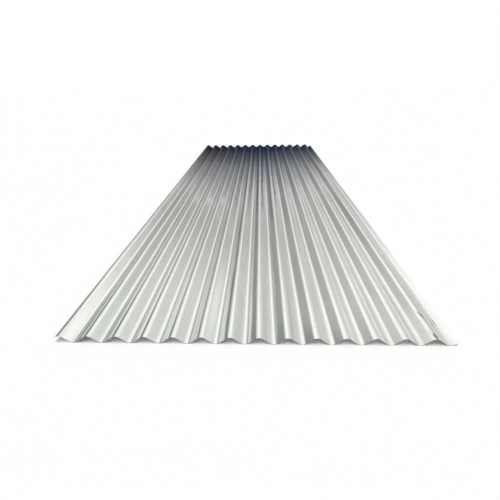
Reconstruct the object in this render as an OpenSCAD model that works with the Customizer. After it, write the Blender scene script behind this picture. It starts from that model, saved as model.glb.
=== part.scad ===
// Corrugated roofing sheet of galvanised steel, lying flat with its corrugations along Y.
// The section is what lies between two faces, half a thickness either side of the middle of the steel.
// Each face is a run of straight flanks, rounded by true circles at the crests and valleys.
// All sizes are in millimetres.

/* [Sheet] */

// Length along the corrugations
sheet_length = 2440; // [600:10:6000]

// Thickness of the steel with its zinc coating
sheet_thickness = 0.45; // [0.3:0.05:1.2]

/* [Corrugations] */

// Distance from crest to crest
wave_pitch = 63.5; // [50:0.5:80]

// Depth of a valley below a crest, both on the upper face
wave_depth = 18; // [10:0.5:24]

// Inside radius of the bends at the crests and valleys
bend_radius = 11.4; // [5:0.1:14]

// Number of crests across the sheet
crest_count = 14; // [3:1:24]

/* [Side edges] */

// Straight flank left of the first crest, down to the left edge
left_lip = 7.5; // [2:0.5:16]

// Straight flank right of the last valley, up to the right edge
right_lip = 11; // [2:0.5:16]

/* [Show] */

// Part to draw

/* [Hidden] */

$fn = 96;

half_pitch = wave_pitch / 2;
half_thickness = sheet_thickness / 2;
outer_radius = bend_radius + sheet_thickness;
middle_radius = bend_radius + half_thickness;

// The flanks pass a little nearer to the bends' centres than a tangent would, so that
// circle and flank cross cleanly at each end of a bend instead of only touching.
bite = middle_radius / 1000;
flank_radius = middle_radius - bite;

// Heights of the bends' centres above the underside of the valleys
valley_centre = outer_radius;
crest_centre = wave_depth + sheet_thickness - outer_radius;

// A flank passes a crest's centre on one side and the next valley's centre on the other,
// both at the flank radius, and this sets its angle.
centre_drop = crest_centre - valley_centre;
centre_span = sqrt(half_pitch * half_pitch + centre_drop * centre_drop);
flank_angle = atan2(centre_drop, half_pitch) + asin(2 * flank_radius / centre_span);
flank_length = sqrt(centre_span * centre_span - 4 * flank_radius * flank_radius);

// Bends are numbered along X from the first crest. Even ones are crests, odd ones are valleys.
last_bend = 2 * crest_count - 1;

// Ends of the side edges, at the middle of the steel. Neither lip is longer than a whole flank.
bend_reach = flank_radius * sin(flank_angle);
bend_rise = flank_radius * cos(flank_angle);
left_reach = min(left_lip, flank_length);
right_reach = min(right_lip, flank_length);
left_edge = [
    -bend_reach - left_reach * cos(flank_angle),
    crest_centre + bend_rise - left_reach * sin(flank_angle)
];
right_edge = [
    last_bend * half_pitch + bend_reach + right_reach * cos(flank_angle),
    valley_centre - bend_rise + right_reach * sin(flank_angle)
];
middle_of_width = (left_edge.x + right_edge.x) / 2;

// Room round the sheet for the trimming cuts at the side edges
cut_reach = wave_depth + outer_radius;
far_left = -wave_pitch;
far_right = last_bend * half_pitch + wave_pitch;
far_below = -2 * cut_reach;

// A crest bulges upward and a valley downward.
function rises(bend) = bend % 2 == 0 ? 1 : -1;
function centre_of(bend) = [bend * half_pitch, rises(bend) > 0 ? crest_centre : valley_centre];

// Where a flank passes nearest to a bend's centre, on the face at this offset from the middle.
// The side is -1 for the flank left of the bend and 1 for the flank right of it.
function flank_point(bend, side, offset) =
    centre_of(bend) + (flank_radius + rises(bend) * offset)
        * [side * sin(flank_angle), rises(bend) * cos(flank_angle)];

module bend_circles(first, offset) {
    for (bend = [first : 2 : last_bend])
        translate(centre_of(bend))
            circle(r = middle_radius + rises(bend) * offset);
}

// Everything below the face at this offset from the middle of the steel. The outer flanks run on
// to where the next bends would begin, and from there level to the sides.
module below_face(offset) {
    difference() {
        union() {
            polygon([
                [far_right, far_below],
                [far_right, crest_centre + outer_radius],
                flank_point(last_bend + 1, -1, offset),
                for (bend = [last_bend : -1 : 0], side = [1, -1])
                    flank_point(bend, side, offset),
                flank_point(-1, 1, offset),
                [far_left, 0],
                [far_left, far_below]
            ]);
            bend_circles(0, offset);
        }
        bend_circles(1, offset);
    }
}

// The width that is kept, with both side edges square to their flanks
module blank() {
    cut = cut_reach * [-sin(flank_angle), cos(flank_angle)];
    polygon([left_edge - cut, right_edge - cut, right_edge + cut, left_edge + cut]);
}

module sheet_section() {
    difference() {
        intersection() {
            below_face(half_thickness);
            blank();
        }
        below_face(-half_thickness);
    }
}

module corrugated_sheet() {
    color("Silver")
        rotate([90, 0, 0])
            linear_extrude(height = sheet_length, center = true)
                translate([-middle_of_width, 0])
                    sheet_section();
}

corrugated_sheet();
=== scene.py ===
"""Looks of a corrugated roofing sheet of galvanised steel.

The sheet is one closed shell. Its wave is a formula of the distance along the section, and small
formulas for uneven rolling and for dips under scuffs are added to it. Lengths are in metres and
angles in degrees, unless a docstring says otherwise. X runs across the waves and Y along them.
"""

import logging
import math
from dataclasses import dataclass, field
from enum import Enum, IntEnum
from typing import Any

import bpy
import numpy as np
from mathutils import Matrix, Vector


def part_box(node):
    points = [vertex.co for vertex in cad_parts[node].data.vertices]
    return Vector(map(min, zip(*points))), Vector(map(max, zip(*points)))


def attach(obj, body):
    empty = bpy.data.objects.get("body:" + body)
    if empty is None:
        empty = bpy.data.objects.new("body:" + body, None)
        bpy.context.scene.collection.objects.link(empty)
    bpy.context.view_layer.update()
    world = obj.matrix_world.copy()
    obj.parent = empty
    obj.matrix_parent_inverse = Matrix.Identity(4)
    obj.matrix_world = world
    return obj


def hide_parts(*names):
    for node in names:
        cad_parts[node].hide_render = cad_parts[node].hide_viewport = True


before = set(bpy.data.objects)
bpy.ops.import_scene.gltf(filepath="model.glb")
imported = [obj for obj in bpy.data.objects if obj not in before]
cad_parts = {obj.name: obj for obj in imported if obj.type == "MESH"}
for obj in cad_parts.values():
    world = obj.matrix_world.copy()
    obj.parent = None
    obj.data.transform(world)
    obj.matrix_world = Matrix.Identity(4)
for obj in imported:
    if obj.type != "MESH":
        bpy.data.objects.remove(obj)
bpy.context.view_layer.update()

SHEET_NODE = "corrugated_sheet"
BODY = "root"

# How much depth the wave loses as its bends spring back after rolling
SPRING_BACK = 0.0008

# Kinds of rays that the studio's mirror cards are hidden from
NOT_MIRROR_RAYS = ("camera", "diffuse", "transmission", "shadow", "volume_scatter")

log = logging.getLogger("roofing_sheet")

Array = np.ndarray
Colour = tuple[float, float, float]
Scale = tuple[float, float, float]
Span = tuple[float, float]


def smooth_step(value: Array, low: float, high: float) -> Array:
    """Ease from 0 at low to 1 at high along a cubic with level ends."""
    part = np.clip((value - low) / (high - low), 0.0, 1.0)
    return part * part * (3.0 - 2.0 * part)


def mix(first: Array, second: Array, share: Array) -> Array:
    """Blend two arrays, with share 0 giving the first and share 1 the second."""
    return first + (second - first) * share


@dataclass(frozen=True)
class Pattern:
    """Fractal noise: its waves to the metre along X, Y and Z, and its levels of finer detail."""

    scale: Scale
    detail: float


class Flank(Enum):
    """The two flanks of a wave, as shares of the pitch from a crest to the flank's middle."""

    FACING_RIGHT = 0.25
    FACING_LEFT = 0.75


class SheetFace(IntEnum):
    """The two broad faces of the steel, with the side of the middle surface that each lies on."""

    UPPER = 1
    UNDER = -1


class Finish(IntEnum):
    """Material slots of the sheet's mesh."""

    ZINC = 0
    SHEARED = 1


class Socket(Enum):
    """Inputs of the Principled shader that the finishes drive with patterns."""

    COLOUR = "Base Color"
    ROUGHNESS = "Roughness"
    NORMAL = "Normal"


class NodeSketch:
    """A short way to write the node tree of a material or a world."""

    def __init__(self, owner: bpy.types.Material | bpy.types.World) -> None:
        """Start with an empty tree.

        Args:
            owner: The material or world that the tree belongs to.
        """
        owner.use_nodes = True
        self.owner = owner
        self.tree = owner.node_tree
        self.tree.nodes.clear()

    def node(self, kind: str, settings: dict[str, Any] | None = None, **inputs: Any) -> bpy.types.Node:
        """Add a node.

        Args:
            kind: Blender's type name of the node, without its ShaderNode prefix.
            settings: Values of the node's own properties.
            **inputs: Values or output sockets for its inputs, by name with _ for each space.

        Returns:
            The new node.
        """
        new = self.tree.nodes.new("ShaderNode" + kind)
        for key, value in (settings or {}).items():
            setattr(new, key, value)
        for key, value in inputs.items():
            self.feed(new.inputs[key.replace("_", " ")], value)
        return new

    def feed(self, socket: bpy.types.NodeSocket, value: Any) -> None:
        """Link an output socket to an input, or set the input's own value.

        Args:
            socket: The input.
            value: An output socket, or a value for the input itself.
        """
        if isinstance(value, bpy.types.NodeSocket):
            self.tree.links.new(value, socket)
        else:
            socket.default_value = value

    def math(self, operation: str, first: Any, second: Any = 0.0, third: Any = 0.0) -> bpy.types.NodeSocket:
        """Add a Math node.

        Args:
            operation: Blender's name of the operation.
            first: First number or socket.
            second: Second number or socket.
            third: Third number or socket.

        Returns:
            The result's socket.
        """
        new = self.node("Math", {"operation": operation})
        for socket, value in zip(new.inputs, (first, second, third)):
            self.feed(socket, value)
        return new.outputs[0]

    def vector_math(self, operation: str, *values: Any) -> bpy.types.NodeSocket:
        """Add a Vector Math node.

        Args:
            operation: Blender's name of the operation.
            *values: Vectors or sockets for its inputs, in order.

        Returns:
            The result's socket.
        """
        new = self.node("VectorMath", {"operation": operation})
        for socket, value in zip(new.inputs, values):
            self.feed(socket, value)
        return new.outputs["Vector"]

    def spread(self, value: bpy.types.NodeSocket, low: float, high: float) -> bpy.types.NodeSocket:
        """Map a socket that runs from 0 to 1 onto the range from low to high."""
        return self.math("MULTIPLY_ADD", value, high - low, low)

    def ease(self, value: bpy.types.NodeSocket, low: float, high: float) -> bpy.types.NodeSocket:
        """Map a socket's range from low to high onto 0 to 1 with level ends."""
        inputs = {"Value": value, "From_Min": low, "From_Max": high}
        return self.node("MapRange", {"interpolation_type": "SMOOTHSTEP"}, **inputs).outputs["Result"]

    def tint(self, base: Any, other: Any, share: Any) -> bpy.types.NodeSocket:
        """Mix two colours.

        Args:
            base: Colour or socket at share 0.
            other: Colour or socket at share 1.
            share: Number or socket from 0 to 1.

        Returns:
            The mixed colour's socket.
        """
        new = self.node("MixRGB", Fac=share)
        for key, value in (("Color1", base), ("Color2", other)):
            self.feed(new.inputs[key], (*value, 1.0) if isinstance(value, tuple) else value)
        return new.outputs["Color"]

    def tinge(self, base: bpy.types.NodeSocket, other: bpy.types.NodeSocket) -> bpy.types.NodeSocket:
        """Multiply two colours."""
        settings = {"blend_type": "MULTIPLY"}
        return self.node("MixRGB", settings, Fac=1.0, Color1=base, Color2=other).outputs["Color"]

    def coordinates(self, scale: Scale) -> bpy.types.NodeSocket:
        """Give the object's own coordinates, multiplied by a scale along each axis."""
        source = self.node("TexCoord").outputs["Object"]
        return self.node("Mapping", Vector=source, Scale=scale).outputs["Vector"]

    def cloud(self, pattern: Pattern) -> bpy.types.Node:
        """Add a node of fractal noise on the object's coordinates."""
        place = self.coordinates(pattern.scale)
        return self.node("TexNoise", Vector=place, Scale=1.0, Detail=pattern.detail)

    def noise(self, pattern: Pattern) -> bpy.types.NodeSocket:
        """Give fractal noise on the object's coordinates, from 0 to 1."""
        return self.cloud(pattern).outputs["Fac"]

    def attribute(self, name: str) -> bpy.types.NodeSocket:
        """Give a number that the mesh stores at its vertices."""
        return self.node("Attribute", {"attribute_name": name}).outputs["Fac"]

    def seen(self) -> bpy.types.NodeSocket:
        """Tell the rays that show things from the rest.

        Returns:
            1 for camera, mirror and glass rays, and 0 for the others.
        """
        rays = self.node("LightPath").outputs
        seen = self.math("MAXIMUM", rays["Is Camera Ray"], rays["Is Glossy Ray"])
        return self.math("MAXIMUM", seen, rays["Is Transmission Ray"])

    def output(self, shader: bpy.types.Node, end: str = "OutputMaterial") -> bpy.types.ID:
        """Send a shader to the surface, and give the material or world back."""
        self.node(end, Surface=shader.outputs[0])
        return self.owner


@dataclass(frozen=True)
class Scuff:
    """A scrape from handling: a line from start to end that presses a soft dip into the steel."""

    start: tuple[float, float]
    end: tuple[float, float]
    half_width: float
    deep: float
    height: float = 0.009
    reach_down: float = 0.04

    @property
    def middle(self) -> tuple[float, float]:
        """Half way from start to end."""
        return (self.start[0] + self.end[0]) / 2, (self.start[1] + self.end[1]) / 2

    @property
    def half_length(self) -> float:
        """Half the way from start to end, with the width added at both ends."""
        return math.dist(self.start, self.end) / 2 + self.half_width

    @property
    def turn(self) -> float:
        """Angle in radians from +Y to the line, counted towards -X."""
        return math.atan2(self.start[0] - self.end[0], self.end[1] - self.start[1])

    def dip(self, across: Array, along: Array) -> Array:
        """Work out a bell curve over the sheet, with the depth at the middle of the line.

        Args:
            across: Distances across the sheet.
            along: Distances along the sheet.

        Returns:
            How far the steel is pressed down.
        """
        spread = self.half_width + self.half_length / 2
        aside = (across - self.middle[0]) / spread
        ahead = (along - self.middle[1]) / self.half_length
        return self.deep * np.exp(-(aside**2 + ahead**2))


@dataclass(frozen=True)
class ZincFinish:
    """Zinc with faint spangle, streaks from rolling, hazy patches and scuffs.

    A pattern's scale is its number of waves or cells to the metre along X, Y and Z. Tone and haze
    weights say how much a pattern counts in the colour and in the roughness.
    """

    name: str = "galvanised_zinc"
    light_zinc: Colour = (0.80, 0.803, 0.775)
    grey_zinc: Colour = (0.70, 0.702, 0.678)
    warm_tint: Colour = (1.0, 0.983, 0.985)
    cool_tint: Colour = (0.975, 0.992, 0.98)
    # The mesh's patches mix in lighter zinc with painted highlight and duller zinc with painted shade.
    lighter_zinc_and_highlight: Colour = (0.95, 0.955, 0.93)
    duller_zinc_and_shade: Colour = (0.36, 0.363, 0.345)
    bare_scuff: Colour = (0.16, 0.155, 0.145)
    spangle: Scale = (85.0, 68.0, 85.0)
    streaks: Pattern = Pattern((260.0, 1.6, 260.0), 3.0)
    haze: Pattern = Pattern((5.0, 2.2, 5.0), 4.0)
    tints: Pattern = Pattern((9.0, 1.5, 9.0), 2.0)
    grain: Pattern = Pattern((900.0, 300.0, 900.0), 2.0)
    drawn: Pattern = Pattern((230.0, 14.0, 230.0), 3.0)
    spangle_tone: float = 0.16
    streak_tone: float = 0.3
    haze_tone: float = 0.5
    tone_span: Span = (0.15, 0.85)
    tint_span: Span = (0.38, 0.62)
    smooth: float = 0.09
    hazy: float = 0.15
    haze_span: Span = (-0.15, 0.95)
    spangle_haze: float = 0.05
    streak_haze: float = 0.25
    grain_depth: float = 0.00002
    drawn_height: float = 0.45
    bump_strength: float = 0.5
    scuff_roughness: float = 0.55
    scuff_height: float = -4.0
    scuff_edge: Span = (0.0, 0.45)
    scuff_breaks: Pattern = Pattern((420.0, 180.0, 420.0), 4.0)
    break_span: Span = (0.36, 0.52)
    rags: Pattern = Pattern((240.0, 240.0, 240.0), 3.0)
    rag_reach: float = 0.004

    def scratches(self, sketch: NodeSketch, scuffs: list[Scuff]) -> bpy.types.NodeSocket:
        """Draw the scuffs with ragged edges.

        Args:
            sketch: The material's tree.
            scuffs: Where the scuffs are.

        Returns:
            Strength from 0 on whole zinc to 1 on a scuff.
        """
        source = sketch.node("TexCoord").outputs["Object"]
        middle = (0.5, 0.5, 0.5)
        sway = sketch.vector_math("SUBTRACT", sketch.cloud(self.rags).outputs["Color"], middle)
        ragged = sketch.vector_math("MULTIPLY_ADD", sway, (self.rag_reach,) * 3, source)
        total: Any = 0.0
        for scuff in scuffs:
            place = sketch.node(
                "Mapping",
                {"vector_type": "TEXTURE"},
                Vector=ragged,
                Location=(*scuff.middle, scuff.height),
                Rotation=(0.0, 0.0, scuff.turn),
                Scale=(scuff.half_width, scuff.half_length, scuff.reach_down),
            )
            bell = sketch.node("TexGradient", {"gradient_type": "SPHERICAL"}, Vector=place.outputs[0])
            total = sketch.math("MAXIMUM", sketch.ease(bell.outputs["Fac"], *self.scuff_edge), total)
        breaks = sketch.ease(sketch.noise(self.scuff_breaks), *self.break_span)
        return sketch.math("MULTIPLY", total, breaks)

    def material(self, scuffs: list[Scuff]) -> bpy.types.Material:
        """Build the material.

        Args:
            scuffs: Where the zinc is scuffed.

        Returns:
            Metal whose colour and roughness follow spangle cells, streaks along the length, broad haze, the
            mesh's patches of painted highlight and painted shade over lighter and duller zinc tone, and the
            scuffs.
        """
        sketch = NodeSketch(bpy.data.materials.new(self.name))
        place = sketch.coordinates(self.spangle)
        flakes = sketch.node("TexVoronoi", Vector=place, Scale=1.0).outputs["Color"]
        flake = sketch.node("SeparateColor", Color=flakes).outputs
        streak = sketch.noise(self.streaks)
        haze = sketch.noise(self.haze)
        warmth = sketch.ease(sketch.noise(self.tints), *self.tint_span)

        tone = sketch.math("MULTIPLY", flake["Red"], self.spangle_tone)
        tone = sketch.math("MULTIPLY_ADD", streak, self.streak_tone, tone)
        tone = sketch.math("MULTIPLY_ADD", haze, self.haze_tone, tone)
        colour = sketch.tint(self.grey_zinc, self.light_zinc, sketch.ease(tone, *self.tone_span))
        colour = sketch.tinge(colour, sketch.tint(self.cool_tint, self.warm_tint, warmth))
        # Painted highlight and painted shade from the mesh's patches, over lighter and duller zinc tone.
        colour = sketch.tint(colour, self.lighter_zinc_and_highlight, sketch.attribute("bright"))
        colour = sketch.tint(colour, self.duller_zinc_and_shade, sketch.attribute("dull_tone_and_shade"))
        mark = self.scratches(sketch, scuffs)
        colour = sketch.tint(colour, self.bare_scuff, mark)

        rough = sketch.spread(haze, *self.haze_span)
        rough = sketch.math("MULTIPLY_ADD", flake["Green"], self.spangle_haze, rough)
        rough = sketch.math("MULTIPLY_ADD", streak, self.streak_haze, rough)
        rough = sketch.spread(rough, self.smooth, self.hazy)
        rough = sketch.math("MULTIPLY_ADD", mark, self.scuff_roughness - self.hazy, rough)

        height = sketch.noise(self.grain)
        height = sketch.math("MULTIPLY_ADD", sketch.noise(self.drawn), self.drawn_height, height)
        height = sketch.math("MULTIPLY_ADD", mark, self.scuff_height, height)
        bump = sketch.node("Bump", Height=height, Distance=self.grain_depth, Strength=self.bump_strength)
        shader = sketch.node("BsdfPrincipled", Metallic=1.0)
        for socket, value in (
            (Socket.COLOUR, colour),
            (Socket.ROUGHNESS, rough),
            (Socket.NORMAL, bump.outputs["Normal"]),
        ):
            sketch.feed(shader.inputs[socket.value], value)
        return sketch.output(shader)


@dataclass(frozen=True)
class ShearedEdgeFinish:
    """Bare steel where the sheet was sheared, duller than the zinc, with drag lines."""

    name: str = "sheared_edge"
    bright_steel: Colour = (0.46, 0.46, 0.45)
    dull_steel: Colour = (0.25, 0.245, 0.24)
    roughness: float = 0.42
    drag_lines: Pattern = Pattern((700.0, 700.0, 60.0), 3.0)
    drag_span: Span = (0.35, 0.65)

    def material(self) -> bpy.types.Material:
        """Build the material.

        Returns:
            Metal whose colour changes in short drag lines across the thickness.
        """
        sketch = NodeSketch(bpy.data.materials.new(self.name))
        drag = sketch.ease(sketch.noise(self.drag_lines), *self.drag_span)
        colour = sketch.tint(self.dull_steel, self.bright_steel, drag)
        shader = sketch.node("BsdfPrincipled", Metallic=1.0, Roughness=self.roughness)
        sketch.feed(shader.inputs[Socket.COLOUR.value], colour)
        return sketch.output(shader)


@dataclass(frozen=True)
class WaveSection:
    """The wave across the sheet, as a formula of the distance along the middle of the steel."""

    depth: float
    pitch: float = 0.0635
    thickness: float = 0.00045
    bend_radius: float = 0.0138
    crest_count: int = 14
    left_lip: float = 0.0056
    right_lip: float = 0.0091

    @property
    def half_pitch(self) -> float:
        """Distance across from a crest to the next valley."""
        return self.pitch / 2

    @property
    def radius(self) -> float:
        """Bend radius at the middle of the steel."""
        return self.bend_radius + self.thickness / 2

    @property
    def flank_angle(self) -> float:
        """Work out the slope at which the flanks run tangent into both bends.

        Returns:
            Angle in radians: the slope of the line between two bends' centres, and the turn from
            it to a line that touches both circles.
        """
        drop = self.depth - 2 * self.radius
        span = math.hypot(self.half_pitch, drop)
        return math.atan2(drop, self.half_pitch) + math.asin(2 * self.radius / span)

    @property
    def half_bend(self) -> float:
        """Length of steel from the middle of a bend to the start of a flank."""
        return self.radius * self.flank_angle

    @property
    def flank(self) -> float:
        """Length of a straight flank between two bends."""
        drop = self.depth - 2 * self.radius
        return math.sqrt(self.half_pitch**2 + drop**2 - 4 * self.radius**2)

    @property
    def half_wave(self) -> float:
        """Length of steel from a crest to the next valley."""
        return 2 * self.half_bend + self.flank

    @property
    def ends(self) -> tuple[float, float]:
        """Measure where the steel ends.

        Returns:
            Distances of the left and right edges from the first crest, along the steel.
        """
        left = -(self.half_bend + self.left_lip)
        last_valley = (2 * self.crest_count - 1) * self.half_wave
        return left, last_valley + self.half_bend + self.right_lip

    def stations(self, per_half_bend: int, per_flank: int) -> Array:
        """Choose distances along the steel, even within each half bend and each flank.

        Args:
            per_half_bend: Steps from the middle of a bend to the start of a flank.
            per_flank: Steps along a flank or lip.

        Returns:
            Distances from the first crest, rising from the left edge to the right edge.
        """
        left, right = self.ends
        middles = np.arange(2 * self.crest_count) * self.half_wave
        turn = np.linspace(-1.0, 1.0, 2 * per_half_bend + 1) * self.half_bend
        bends = (middles[:, None] + turn[None, :]).ravel()
        inner = np.arange(1, per_flank) / per_flank * self.flank
        flanks = (middles[:-1, None] + self.half_bend + inner[None, :]).ravel()
        left_steps = np.linspace(left, -self.half_bend, per_flank, endpoint=False)
        right_steps = np.linspace(right, middles[-1] + self.half_bend, per_flank, endpoint=False)
        return np.sort(np.concatenate([bends, flanks, left_steps, right_steps]))

    def place(self, along: Array) -> tuple[Array, Array, Array]:
        """Work out the middle of the steel.

        The distance is folded into half waves. Measured from the nearer end of its half wave, a
        point lies on a circle's arc as far as the half bend reaches, and past that on the straight
        flank. The far half of a half wave is the near half turned about the middle of the flank,
        and every second half wave is turned upside down.

        Args:
            along: Distances from the first crest, along the steel.

        Returns:
            Distance across from the middle of the width, height above the floor, and slope in
            radians, which is positive where the steel falls to the right.
        """
        turn = np.floor(along / self.half_wave)
        inside = along - turn * self.half_wave
        nearer = np.minimum(inside, self.half_wave - inside)
        angle = np.minimum(nearer, self.half_bend) / self.radius
        straight = np.maximum(nearer - self.half_bend, 0.0)
        reach = self.radius * np.sin(angle) + straight * math.cos(self.flank_angle)
        drop = self.radius * (1 - np.cos(angle)) + straight * math.sin(self.flank_angle)
        far_half = inside > self.half_wave / 2
        across = turn * self.half_pitch + np.where(far_half, self.half_pitch - reach, reach)
        fall = np.where(far_half, self.depth - drop, drop)
        rising = np.mod(turn, 2) == 1
        height = self.depth + self.thickness / 2 - np.where(rising, self.depth - fall, fall)
        return across - self.middle, height, np.where(rising, -angle, angle)

    @property
    def middle(self) -> float:
        """Distance across from the first crest to the middle of the width."""
        lip_run = (self.right_lip - self.left_lip) * math.cos(self.flank_angle)
        return ((2 * self.crest_count - 1) * self.half_pitch + lip_run) / 2

    def crest(self, number: int) -> float:
        """Distance across from the middle of the width to a crest, counted from 1 at the left."""
        return (number - 1) * self.pitch - self.middle


@dataclass(frozen=True)
class TonePatch:
    """A soft patch of lighter zinc with painted highlight, or of duller zinc with painted shade where its
    strength is below 0.

    Its middle is given across and along the sheet, and its reach to each side of that. A power of
    2 fades it in a bell curve, and a high one gives it a flat top and a firm border.
    """

    across: float
    along: float
    half_width: float
    half_length: float
    strength: float
    side_power: int = 12
    end_power: int = 2

    def fade(self, across: Array, along: Array) -> Array:
        """Work out the patch over the sheet.

        It is the strength times e to the minus of two powers, of the distances across and along
        in reaches.

        Args:
            across: Distances across the sheet.
            along: Distances along the sheet.

        Returns:
            Strengths, with the full strength at the patch's middle.
        """
        aside = (across - self.across) / self.half_width
        ahead = (along - self.along) / self.half_length
        return self.strength * np.exp(-(aside**self.side_power + ahead**self.end_power))


@dataclass(frozen=True)
class Unevenness:
    """How far rolling and shearing leave the steel from its true shape.

    Waves are lengths along the sheet, and phases are in radians to each half wave of the section.
    """

    crest_swing: float = 0.00035
    crest_wave: float = 0.52
    crest_phase: float = 2.4
    ripple_share: float = 0.5
    ripple_wave: float = 0.1924
    ripple_phase: float = 4.08
    sheet_swing: float = 0.0006
    sheet_wave: float = 1.9
    sheet_phase: float = 0.1
    shear_swing: float = 0.0007
    shear_phase: float = 0.31

    def lift(self, bend: Array, along: Array) -> Array:
        """Work out how far each point stands above its true place.

        It is a slow and a quicker sine along the length, whose phases change from bend to bend
        by angles that never repeat, and one long sine of the whole sheet. Each has its lowest
        points at 0.

        Args:
            bend: Number of half waves from the first crest, not rounded.
            along: Distances along the sheet.

        Returns:
            Heights, none below 0.
        """
        turn = 2 * math.pi * along
        slow = 1 + np.sin(turn / self.crest_wave + self.crest_phase * bend)
        quick = 1 + np.sin(turn / self.ripple_wave + self.ripple_phase * bend)
        whole = 1 + np.sin(turn / self.sheet_wave + self.sheet_phase * bend)
        ripple = self.crest_swing * (slow + self.ripple_share * quick)
        return (ripple + self.sheet_swing * whole) / 2

    def shear(self, bend: Array) -> Array:
        """Distance by which each end is sheared short of square, from 0 to the swing."""
        return self.shear_swing * (1 + np.sin(self.shear_phase * bend)) / 2


@dataclass
class CorrugatedSheet:
    """The sheet: a closed shell of an upper face, an under face and a rim."""

    section: WaveSection
    near_end: float
    far_end: float
    zinc: ZincFinish = field(default_factory=ZincFinish)
    sheared: ShearedEdgeFinish = field(default_factory=ShearedEdgeFinish)
    uneven: Unevenness = field(default_factory=Unevenness)
    name: str = "roofing_sheet"
    per_half_bend: int = 4
    per_flank: int = 3
    rows: int = 150
    near_crowding: float = 0.4
    normal_step: float = 0.00001
    bake_margin: float = 0.01
    bake_foot: float = 0.04
    patch_share: float = 0.125

    @property
    def scuffs(self) -> list[Scuff]:
        """Place the scrapes over the last crest and along the last valley, close to the near end.

        Returns:
            The scrapes, from the farthest to the nearest.
        """
        crest = self.section.crest(self.section.crest_count)
        valley = crest + self.section.half_pitch
        end = self.near_end
        return [
            Scuff(
                start=(crest - 0.003, end + 0.098),
                end=(crest + 0.005, end + 0.072),
                half_width=0.0029,
                deep=0.0006,
            ),
            Scuff(
                start=(valley, end + 0.094),
                end=(valley, end + 0.066),
                half_width=0.0012,
                deep=0.0,
            ),
            Scuff(
                start=(crest + 0.001, end + 0.019),
                end=(crest + 0.003, end + 0.005),
                half_width=0.0048,
                deep=0.0009,
            ),
        ]

    def flank(self, crest: int, side: Flank, along: float, half_length: float, strength: float) -> TonePatch:
        """Make a patch that fills a flank, which is named by the next crest to its left; it paints the
        flank's reflected light into the colour, as painted highlight above 0 and painted shade below 0.
        """
        across = self.section.crest(crest) + side.value * self.section.pitch
        return TonePatch(across, along, self.patch_share * self.section.pitch, half_length, strength)

    @property
    def zones(self) -> list[TonePatch]:
        """Place the patches that cross several waves.

        Returns:
            A painted dark shade across the whole far end, standing for a dark reflection there, and three
            zones of three or six waves of partly painted reflection.
        """
        pitch = self.section.pitch
        # Painted shade: darkens the zinc's colour over the far end to stand for the dark reflection there.
        painted_far_shade = TonePatch(
            across=0.0,
            along=self.far_end,
            half_width=self.far_end,
            half_length=0.62,
            strength=-0.45,
            end_power=16,
        )
        first = self.section.crest(1) + Flank.FACING_RIGHT.value * pitch
        return [
            painted_far_shade,
            TonePatch(first + 2 * pitch, -0.30, 3 * pitch, 0.50, -0.16),
            TonePatch(first + 7 * pitch, 0.10, 1.5 * pitch, 0.40, 0.60),
            TonePatch(first + 11 * pitch, -0.40, 3 * pitch, 0.50, 0.20),
        ]

    @property
    def patches(self) -> list[TonePatch]:
        """Place the uneven zinc tone, with painted highlight and painted shade on single flanks.

        Returns:
            The zones, the flanks that face right, the last crest's right shoulder, the flanks that face
            left, and three short lighter strips; the flank patches are partly random zinc tone and partly
            painted reflection.
        """
        last = self.section.crest_count
        narrow = self.patch_share * self.section.pitch
        right, left = Flank
        # Flank patches paint each flank's reflected light and shade into the colour: painted highlight above
        # 0, painted shade below 0.
        return [
            *self.zones,
            self.flank(1, right, -1.22, 0.28, 0.55),
            self.flank(2, right, -0.95, 0.50, -0.28),
            self.flank(6, right, -1.10, 0.20, 0.60),
            self.flank(6, right, -0.50, 0.20, -0.25),
            self.flank(9, right, -1.15, 0.30, -0.18),
            self.flank(9, right, 0.00, 0.40, -0.70),
            self.flank(10, right, -1.15, 0.20, -0.15),
            self.flank(12, right, -0.10, 0.90, 0.70),
            self.flank(13, right, -0.40, 1.00, 1.20),
            self.flank(14, right, 0.10, 0.40, 0.55),
            TonePatch(self.section.crest(last) + narrow, -0.90, narrow, 0.45, -0.50),
            self.flank(1, left, -0.70, 0.90, -0.55),
            self.flank(4, left, -0.40, 0.50, -0.28),
            self.flank(5, left, -0.50, 0.80, -0.38),
            self.flank(6, left, -0.80, 0.90, -0.32),
            self.flank(8, left, 0.15, 0.40, 0.80),
            self.flank(9, left, 0.15, 0.40, 0.90),
            self.flank(12, left, 0.00, 1.00, -0.55),
            self.flank(13, left, -0.10, 1.30, -0.80),
            self.flank(last, left, -0.60, 0.90, 0.90),
            self.flank(3, right, -0.24, 0.05, 0.70),
            self.flank(4, right, -0.25, 0.05, 1.00),
            self.flank(5, right, -0.26, 0.05, 1.00),
        ]

    def row_places(self) -> Array:
        """Choose the rows of the grid, closer together towards the near end by a quadratic.

        Returns:
            Distances along the sheet, from the near end to the far end.
        """
        part = np.linspace(0.0, 1.0, self.rows + 1)
        eased = self.near_crowding * part + (1 - self.near_crowding) * part**2
        return mix(self.near_end, self.far_end, eased)

    def grid(self) -> tuple[Array, Array]:
        """Give distances along the steel as one row, and along the sheet as one column."""
        stations = self.section.stations(self.per_half_bend, self.per_flank)
        return stations[None, :], self.row_places()[:, None]

    def surface(self, along: Array, y: Array, side: SheetFace) -> Array:
        """Work out points of one broad face.

        A point is the true wave, moved by half the thickness along its normal, lifted by the
        unevenness and pressed down by the scuffs, but never through the floor.

        Args:
            along: Distances along the steel from the first crest.
            y: Distances along the sheet.
            side: The face to work out.

        Returns:
            Points, with a last axis of X, Y and Z.
        """
        across, height, slope = self.section.place(along)
        half = side * self.section.thickness / 2
        lift = self.uneven.lift(along / self.section.half_wave, y)
        dip = sum(scuff.dip(across, y) for scuff in self.scuffs)
        lowest = (1 + side) * self.section.thickness / 2
        z = np.maximum(height + half * np.cos(slope) + lift - dip, lowest)
        return np.stack(np.broadcast_arrays(across + half * np.sin(slope), y, z), axis=-1)

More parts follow.
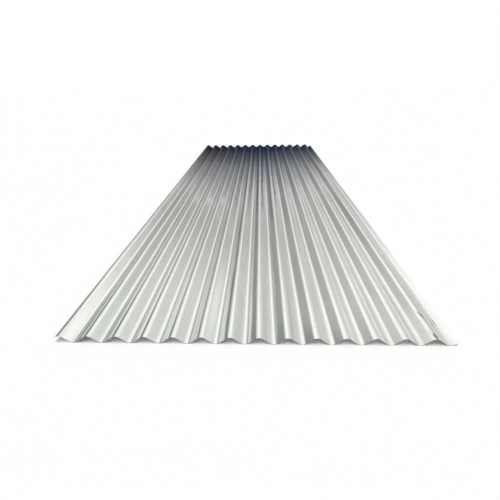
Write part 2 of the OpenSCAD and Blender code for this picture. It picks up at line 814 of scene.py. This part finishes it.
    def face(self, side: SheetFace) -> Array:
        """Work out one broad face on the grid, with both ends sheared a little short of square.

        Args:
            side: The face to work out.

        Returns:
            Points on the grid, with a last axis of X, Y and Z.
        """
        along, y = self.grid()
        points = self.surface(along, y, side)
        short = self.uneven.shear(along / self.section.half_wave)
        points[..., 1] = np.clip(y, self.near_end + short, self.far_end - short)
        return points

    def face_normals(self, side: SheetFace) -> Array:
        """Work out the outward directions of one broad face, so that straight flanks shade flat.

        Each is square to two short steps over the surface, one across the waves and one along them.

        Args:
            side: The face to work out.

        Returns:
            Unit vectors on the grid.
        """
        along, y = self.grid()
        step = self.normal_step
        over = self.surface(along + step, y, side) - self.surface(along - step, y, side)
        ahead = self.surface(along, y + step, side) - self.surface(along, y - step, side)
        outward = side * np.cross(over, ahead)
        return outward / np.linalg.norm(outward, axis=-1, keepdims=True)

    def faces(self) -> tuple[Array, Array]:
        """Number the quads of the closed shell.

        The upper face's vertices come first, row by row, then the under face's in the same order.
        The rim joins the two borders, walked once round the sheet.

        Returns:
            Quads of shape (count, 4) that point outwards, and each quad's material slot.
        """
        columns = self.section.stations(self.per_half_bend, self.per_flank).size
        count = (self.rows + 1) * columns
        grid = np.arange(count).reshape(self.rows + 1, columns)
        upper = np.stack([grid[:-1, :-1], grid[:-1, 1:], grid[1:, 1:], grid[1:, :-1]], axis=-1)
        under = upper[..., ::-1] + count
        border = np.concatenate([grid[0, :-1], grid[:-1, -1], grid[-1, :0:-1], grid[:0:-1, 0]])
        following = np.roll(border, -1)
        rim = np.stack([border, border + count, following + count, following], axis=-1)
        quads = np.concatenate([upper.reshape(-1, 4), under.reshape(-1, 4), rim])
        slots = np.full(len(quads), Finish.ZINC)
        slots[-len(rim):] = Finish.SHEARED
        return quads, slots

    def bake_map(self, quads: Array) -> Array:
        """Lay the shell out flat for baking.

        The upper face fills the left half of the square and the under face the right half, both as
        the flat steel before rolling. The rim's quads take thin strips along the bottom.

        Args:
            quads: Vertex numbers of the quads.

        Returns:
            Places of shape (count, 4, 2), from 0 to 1.
        """
        along = self.section.stations(self.per_half_bend, self.per_flank)
        across = (along - along[0]) / (along[-1] - along[0])
        up = (self.row_places() - self.near_end) / (self.far_end - self.near_end)
        margin, foot = self.bake_margin, self.bake_foot
        u, v = np.meshgrid(across, up)
        flat = np.stack([margin + u * (0.5 - 2 * margin), foot + v * (1 - foot - margin)], axis=-1)
        places = np.concatenate([flat.reshape(-1, 2), flat.reshape(-1, 2) + (0.5, 0.0)])[quads]
        rim_count = 2 * (self.rows + along.size - 1)
        step = (1 - 2 * margin) / rim_count
        start = margin + np.arange(rim_count) * step
        left, right = start, start + step
        low, high = np.full(rim_count, margin), np.full(rim_count, foot - margin)
        strip = np.stack([left, high, left, low, right, low, right, high], axis=-1)
        places[-rim_count:] = strip.reshape(-1, 4, 2)
        return places

    def marks(self, points: Array) -> dict[str, Array]:
        """Give each vertex's lighter tone with painted highlight and duller tone with painted shade, from 0
        to 1, by the attribute's name.
        """
        tone = sum(patch.fade(points[:, 0], points[:, 1]) for patch in self.patches)
        return {"bright": np.clip(tone, 0.0, 1.0), "dull_tone_and_shade": np.clip(-tone, 0.0, 1.0)}

    def build(self) -> bpy.types.Object:
        """Make the sheet's object, dress it and set it in the frame.

        Returns:
            The finished object.
        """
        points = np.concatenate([self.face(side).reshape(-1, 3) for side in SheetFace])
        quads, slots = self.faces()
        mesh = bpy.data.meshes.new(self.name)
        mesh.from_pydata(points, [], quads)
        mesh.polygons.foreach_set("material_index", slots.astype(np.int32))
        mesh.polygons.foreach_set("use_smooth", np.ones(len(quads), dtype=bool))
        self.sharpen_rim(mesh, len(points) // 2)
        for name, values in self.marks(points).items():
            layer = mesh.attributes.new(name, "FLOAT", "POINT")
            layer.data.foreach_set("value", values.astype(np.float32))
        layer = mesh.uv_layers.new(name="OFBake")
        layer.uv.foreach_set("vector", self.bake_map(quads).astype(np.float32).ravel())
        mesh.materials.append(self.zinc.material(self.scuffs))
        mesh.materials.append(self.sheared.material())
        mesh.validate()
        normals = np.concatenate([self.face_normals(side).reshape(-1, 3) for side in SheetFace])[quads]
        normals[slots == Finish.SHEARED] = 0.0
        mesh.normals_split_custom_set(normals.reshape(-1, 3))
        sheet = bpy.data.objects.new(self.name, mesh)
        bpy.context.scene.collection.objects.link(sheet)
        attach(sheet, BODY)
        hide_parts(SHEET_NODE)
        log.info("%s: %d vertices, %d quads", self.name, len(points), len(quads))
        return sheet

    @staticmethod
    def sharpen_rim(mesh: bpy.types.Mesh, upper_count: int) -> None:
        """Mark the edges round both faces as sharp, so that the rim stays crisp.

        Args:
            mesh: The sheet's mesh.
            upper_count: How many vertices the upper face has.
        """
        rim = np.zeros(len(mesh.polygons), dtype=np.int32)
        mesh.polygons.foreach_get("material_index", rim)
        loops = np.zeros(len(mesh.loops), dtype=np.int32)
        mesh.loops.foreach_get("edge_index", loops)
        of_face = loops.reshape(-1, 4)
        sharp = np.zeros(len(mesh.edges), dtype=bool)
        sharp[of_face[rim == Finish.SHEARED].ravel()] = True
        ends = np.zeros(2 * len(mesh.edges), dtype=np.int32)
        mesh.edges.foreach_get("vertices", ends)
        through = np.ptp(ends.reshape(-1, 2) // upper_count, axis=1) > 0
        sharp &= ~through
        mesh.attributes.new("sharp_edge", "BOOLEAN", "EDGE").data.foreach_set("value", sharp)


@dataclass(frozen=True)
class Floor:
    """A plain pale floor that shows the sheet's shadow."""

    half_size: float = 60.0
    drop: float = 0.0002
    albedo: float = 0.94
    lift: float = 0.05

    def material(self) -> bpy.types.Material:
        """Build the material.

        Returns:
            Matt near-white, with a little glow for camera, mirror and glass rays, so that the lit
            floor comes out white.
        """
        sketch = NodeSketch(bpy.data.materials.new("pale_floor"))
        matt = sketch.node("BsdfDiffuse", Color=(self.albedo,) * 3 + (1.0,))
        glow = sketch.node("Emission", Strength=sketch.math("MULTIPLY", sketch.seen(), self.lift))
        both = sketch.node("AddShader")
        for socket, shader in zip(both.inputs, (matt, glow)):
            sketch.feed(socket, shader.outputs[0])
        return sketch.output(both)

    def build(self) -> bpy.types.Object:
        """Lay the floor as one square just under the sheet.

        Returns:
            The floor.
        """
        side = np.array([-1.0, 1.0]) * self.half_size
        x, y = np.meshgrid(side, side)
        points = np.stack([x, y, np.full_like(x, -self.drop)], axis=-1).reshape(-1, 3)
        mesh = bpy.data.meshes.new("floor")
        mesh.from_pydata(points, [], [(0, 1, 3, 2)])
        mesh.materials.append(self.material())
        floor = bpy.data.objects.new("floor", mesh)
        bpy.context.scene.collection.objects.link(floor)
        return floor


@dataclass(frozen=True)
class TentPanel:
    """One side of the light tent: its colour at the floor and where the roof begins."""

    floor: Colour
    eaves: Colour


@dataclass(frozen=True)
class GlowSpot:
    """A soft spot on the dome, brighter or dimmer than its panel."""

    azimuth: float
    elevation: float
    wide: float
    high: float
    glow: float

    def light(self, azimuth: Array, elevation: Array) -> Array:
        """Work out a bell curve over the dome.

        Args:
            azimuth: Degrees to the right of +Y.
            elevation: Degrees above the floor.

        Returns:
            Brightness to add, with the glow at the spot's middle and 0 well outside it.
        """
        aside = (azimuth - self.azimuth) / self.wide
        above = (elevation - self.elevation) / self.high
        return self.glow * np.exp(-(aside**2 + above**2))


@dataclass(frozen=True)
class LightTent:
    """A dome that only the metal's mirror rays see, with a graded card behind the sheet's far end.

    Heights and sides of the dome are angles: degrees above the floor, and degrees to the right or
    left of straight ahead. Only the side blend is a span of the azimuth's sine. The card's sizes are
    lengths.
    """

    radius: float = 6.0
    columns: int = 180
    rows: int = 90
    top: float = 89.9
    left: TentPanel = TentPanel((0.34, 0.34, 0.34), (0.77, 0.785, 0.77))
    front: TentPanel = TentPanel((0.35, 0.35, 0.35), (0.90, 0.90, 0.90))
    right: TentPanel = TentPanel((0.68, 0.68, 0.69), (0.86, 0.875, 0.89))
    roof: Colour = (1.10, 1.12, 1.10)
    zenith: Colour = (0.60, 0.60, 0.60)
    eaves_height: float = 32.5
    roof_height: float = 44.0
    zenith_height: Span = (52.0, 72.0)
    climb_power: float = 1.6
    side_blend: Span = (-0.25, 0.25)
    front_width: Span = (8.0, 37.0)
    strip_glow: float = 0.45
    strip_width: float = 6.4
    strip_foot: Span = (13.0, 23.0)
    skirting: Colour = (0.11, 0.115, 0.115)
    skirting_side: Span = (8.0, 22.0)
    skirting_height: Span = (1.0, 9.0)
    curtain: Colour = (0.285, 0.30, 0.295)
    curtain_side: Span = (39.0, 48.5)
    curtain_height: Span = (31.0, 45.0)
    left_back: Span = (110.0, 140.0)
    spots: tuple[GlowSpot, ...] = (
        GlowSpot(38.0, 19.0, 9.0, 6.0, 0.14),
        GlowSpot(-21.0, 38.0, 12.0, 9.0, 0.17),
        GlowSpot(10.0, 42.0, 9.0, 8.0, -0.05),
        GlowSpot(-45.0, 13.0, 5.0, 5.0, 0.06),
        GlowSpot(-15.0, 22.0, 7.0, 5.0, -0.08),
        GlowSpot(17.0, 22.0, 8.0, 9.0, -0.06),
    )
    dark: Colour = (0.018, 0.030, 0.070)
    left_dark: Colour = (0.024, 0.026, 0.034)
    dark_turn: Span = (-0.45, 0.0)
    grey: Colour = (0.635, 0.64, 0.645)
    card_columns: int = 62
    card_rows: int = 42
    card_gap: float = 0.08
    card_half_width: float = 0.72
    card_height: float = 0.42
    card_slant: float = 0.5
    dark_height: float = 0.03
    side_fade: float = 0.17

    def tone(self, azimuth: Array, elevation: Array) -> Array:
        """Work out the dome's brightness.

        Each panel's colour climbs from its floor tone to its eaves tone by a power of the height,
        and eases from there to the roof's colour and to a greyer zenith. The front panel eases into
        the side panels. A dark skirting runs along the floor on the left, and a dark curtain hangs
        further left. A bright strip stands straight ahead, with a few soft spots about it.

        Args:
            azimuth: Degrees to the right of +Y.
            elevation: Degrees above the floor.

        Returns:
            Linear colours, with a last axis of red, green and blue.
        """
        to_right = smooth_step(np.sin(np.radians(azimuth)), *self.side_blend)[..., None]
        aside = smooth_step(np.abs(azimuth), *self.front_width)[..., None]
        climb = np.clip(elevation / self.eaves_height, 0.0, 1.0)[..., None] ** self.climb_power
        over = smooth_step(elevation, self.eaves_height, self.roof_height)[..., None]
        left, front, right = (
            mix(np.array(panel.floor), np.array(panel.eaves), climb)
            for panel in (self.left, self.front, self.right)
        )
        colour = mix(mix(front, mix(left, right, to_right), aside), np.array(self.roof), over)
        for cloth, side, height in (
            (self.skirting, self.skirting_side, self.skirting_height),
            (self.curtain, self.curtain_side, self.curtain_height),
        ):
            leftward = smooth_step(-azimuth, *side) * (1 - smooth_step(-azimuth, *self.left_back))
            hung = leftward * (1 - smooth_step(elevation, *height))
            colour = mix(colour, np.array(cloth), hung[..., None])
        strip = np.exp(-((azimuth / self.strip_width) ** 2)) * smooth_step(elevation, *self.strip_foot)
        glow = self.strip_glow * strip + sum(spot.light(azimuth, elevation) for spot in self.spots)
        overhead = smooth_step(elevation, *self.zenith_height)
        return mix(colour + glow[..., None], np.array(self.zenith), overhead[..., None])

    def build(self) -> bpy.types.Object:
        """Build the dome on a grid of azimuth and elevation.

        Returns:
            The dome, hidden from every ray but a mirror's.
        """
        azimuth = np.linspace(-180.0, 180.0, self.columns + 1)
        elevation = np.linspace(0.0, self.top, self.rows + 1)
        az, el = np.meshgrid(azimuth, elevation)
        turn, rise = np.radians(az), np.radians(el)
        unit = np.stack([np.sin(turn) * np.cos(rise), np.cos(turn) * np.cos(rise), np.sin(rise)], axis=-1)
        return self.mirror_card("light_tent", unit * self.radius, self.tone(az, el))

    def build_card(self, far_end: float) -> bpy.types.Object:
        """Stand the graded card just behind the sheet.

        Its colour climbs straight from dark near the floor to grey at the top, a little sooner
        towards the right, and eases into the dome's own colour towards both sides. The dark turns
        from a plain one on the left to a blue one in the middle.

        Args:
            far_end: Distance of the sheet's far end from its middle.

        Returns:
            The card, hidden from every ray but a mirror's.
        """
        across = np.linspace(-self.card_half_width, self.card_half_width, self.card_columns + 1)
        height = np.linspace(0.0, self.card_height, self.card_rows + 1)
        x, z = np.meshgrid(across, height)
        y = np.full_like(x, far_end + self.card_gap)
        raised = z * (1 + self.card_slant * x) - self.dark_height
        climb = np.maximum(raised / (self.card_height - self.dark_height), 0.0)
        blue = smooth_step(x, *self.dark_turn)
        dark = mix(np.array(self.left_dark), np.array(self.dark), blue[..., None])
        graded = mix(dark, np.array(self.grey), climb[..., None])
        behind = self.tone(np.degrees(np.arctan2(x, y)), np.degrees(np.arctan2(z, np.hypot(x, y))))
        fade = smooth_step(np.abs(x), self.card_half_width - self.side_fade, self.card_half_width)
        tones = mix(graded, behind, fade[..., None])
        return self.mirror_card("graded_card", np.stack([x, y, z], axis=-1), tones)

    @staticmethod
    def mirror_card(name: str, points: Array, tones: Array) -> bpy.types.Object:
        """Make a glowing card that only mirror rays see.

        Args:
            name: Name of the card.
            points: Grid of points of shape (rows, columns, 3).
            tones: Linear colours on the same grid.

        Returns:
            The card's object.
        """
        grid = np.arange(tones[..., 0].size).reshape(tones.shape[:2])
        quads = np.stack([grid[:-1, :-1], grid[:-1, 1:], grid[1:, 1:], grid[1:, :-1]], axis=-1)
        mesh = bpy.data.meshes.new(name)
        mesh.from_pydata(points.reshape(-1, 3), [], quads.reshape(-1, 4))
        colour = np.concatenate([tones, np.ones((*grid.shape, 1))], axis=-1)
        layer = mesh.attributes.new("tone", "FLOAT_COLOR", "POINT")
        layer.data.foreach_set("color", colour.astype(np.float32).ravel())
        sketch = NodeSketch(bpy.data.materials.new(name))
        shade = sketch.node("Attribute", {"attribute_name": "tone"}).outputs["Color"]
        mesh.materials.append(sketch.output(sketch.node("Emission", Color=shade)))
        sketch.owner.cycles.emission_sampling = "NONE"
        card = bpy.data.objects.new(name, mesh)
        bpy.context.scene.collection.objects.link(card)
        for ray in NOT_MIRROR_RAYS:
            setattr(card, "visible_" + ray, False)
        return card


@dataclass(frozen=True)
class SoftLight:
    """Even daylight for the floor: a white surround and one wide sun overhead."""

    surround: float = 0.30
    sun: float = 2.3
    sun_width: float = 45.0
    sun_lean: Span = (12.0, -10.0)

    def build_world(self) -> None:
        """Make the world white for camera, mirror and glass rays, and a plain level for the rest."""
        world = bpy.data.worlds.new("white_surround")
        sketch = NodeSketch(world)
        level = sketch.spread(sketch.seen(), self.surround, 1.0)
        white = sketch.node("Background", Color=(1.0, 1.0, 1.0, 1.0), Strength=level)
        sketch.output(white, "OutputWorld")
        world.cycles.sampling_method = "NONE"
        bpy.context.scene.world = world

    def build_sun(self) -> bpy.types.Object:
        """Hang the sun, hidden from mirror rays so that it leaves no hot line on the metal.

        Returns:
            The sun.
        """
        lamp = bpy.data.lights.new("wide_sun", "SUN")
        lamp.energy = self.sun
        lamp.angle = math.radians(self.sun_width)
        sun = bpy.data.objects.new("wide_sun", lamp)
        sun.rotation_euler = [math.radians(a) for a in self.sun_lean] + [0.0]
        sun.visible_glossy = False
        bpy.context.scene.collection.objects.link(sun)
        return sun


@dataclass(frozen=True)
class PhotoCamera:
    """The camera: just above the near end, looking down along the waves."""

    place: tuple[float, float, float] = (0.0175, -1.7912, 0.5193)
    down: float = 26.689
    left: float = 1.955
    roll: float = -0.85
    lens: float = 24.409
    sensor: float = 36.0

    def build(self) -> bpy.types.Object:
        """Make the camera and give it to the scene.

        Returns:
            The camera.
        """
        data = bpy.data.cameras.new("camera")
        data.lens = self.lens
        data.sensor_width = self.sensor
        camera = bpy.data.objects.new("camera", data)
        turn = Matrix.Rotation(math.radians(self.left), 4, "Z")
        tilt = Matrix.Rotation(math.radians(90.0 - self.down), 4, "X")
        roll = Matrix.Rotation(math.radians(self.roll), 4, "Z")
        camera.matrix_world = Matrix.Translation(self.place) @ turn @ tilt @ roll
        bpy.context.scene.collection.objects.link(camera)
        bpy.context.scene.camera = camera
        return camera


def main() -> None:
    """Build the sheet and the studio round it."""
    logging.basicConfig(level=logging.INFO, format="%(name)s: %(message)s")
    bpy.context.scene.view_settings.view_transform = "Standard"
    low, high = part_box(SHEET_NODE)
    rolled = high.z - low.z - WaveSection.thickness
    section = WaveSection(depth=rolled - SPRING_BACK)
    CorrugatedSheet(section, near_end=low.y, far_end=high.y).build()
    tent = LightTent()
    studio = (
        Floor().build(),
        tent.build(),
        tent.build_card(high.y),
        SoftLight().build_sun(),
        PhotoCamera().build(),
    )
    for piece in studio:
        log.info("%s: placed", piece.name)
    SoftLight().build_world()


if __name__ == "__main__":
    main()
